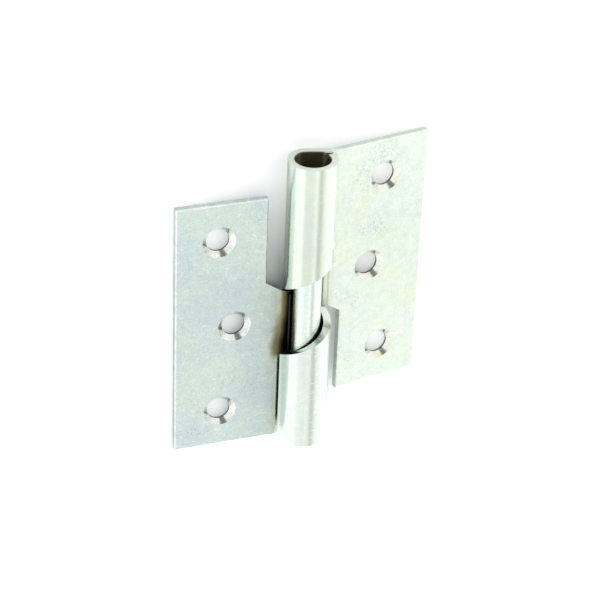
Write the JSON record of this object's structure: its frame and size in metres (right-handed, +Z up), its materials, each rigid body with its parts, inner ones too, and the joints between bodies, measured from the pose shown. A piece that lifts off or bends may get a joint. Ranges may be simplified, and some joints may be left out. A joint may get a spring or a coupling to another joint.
{
  "type": "rising butt hinge",
  "caption": "Pressed steel rising butt hinge: knuckles with helical ends turn on a plain pin and lift the door leaf as it opens.",
  "frame": {"origin": "on the table under the pin axis, at the middle of the hinge's overall length; the hinge lies on its back, open as far as the table lets it", "axes": "+Y up the pin when the hinge is hung, +X towards the door leaf, +Z up, out of the countersunk side"},
  "size_m": [0.0722, 0.0858, 0.0133],
  "materials": {
    "leaf_zinc": "bright zinc plate on pressed steel",
    "pin_zinc": "bright zinc plate on turned steel"
  },
  "bodies": {
    "frame_side": {"frame_leaf": "leaf_zinc"},
    "pin_body": {"pin": "pin_zinc"},
    "door_side": {"door_leaf": "leaf_zinc"}
  },
  "joints": [
    {"name": "door_turn", "type": "hinge", "parent": "frame_side", "child": "pin_body", "pos_m": [0, 0, 0.00665], "axis": [0, -1, 0], "range_deg": [0, 190.76]},
    {"name": "door_rise", "type": "slide", "parent": "pin_body", "child": "door_side", "axis": [0, -1, 0], "range_m": [0, 0.01082]}
  ],
  "couplings": [
    {"joint": "door_rise", "follows": "door_turn", "m_per_rad": 0.0032468}
  ]
}
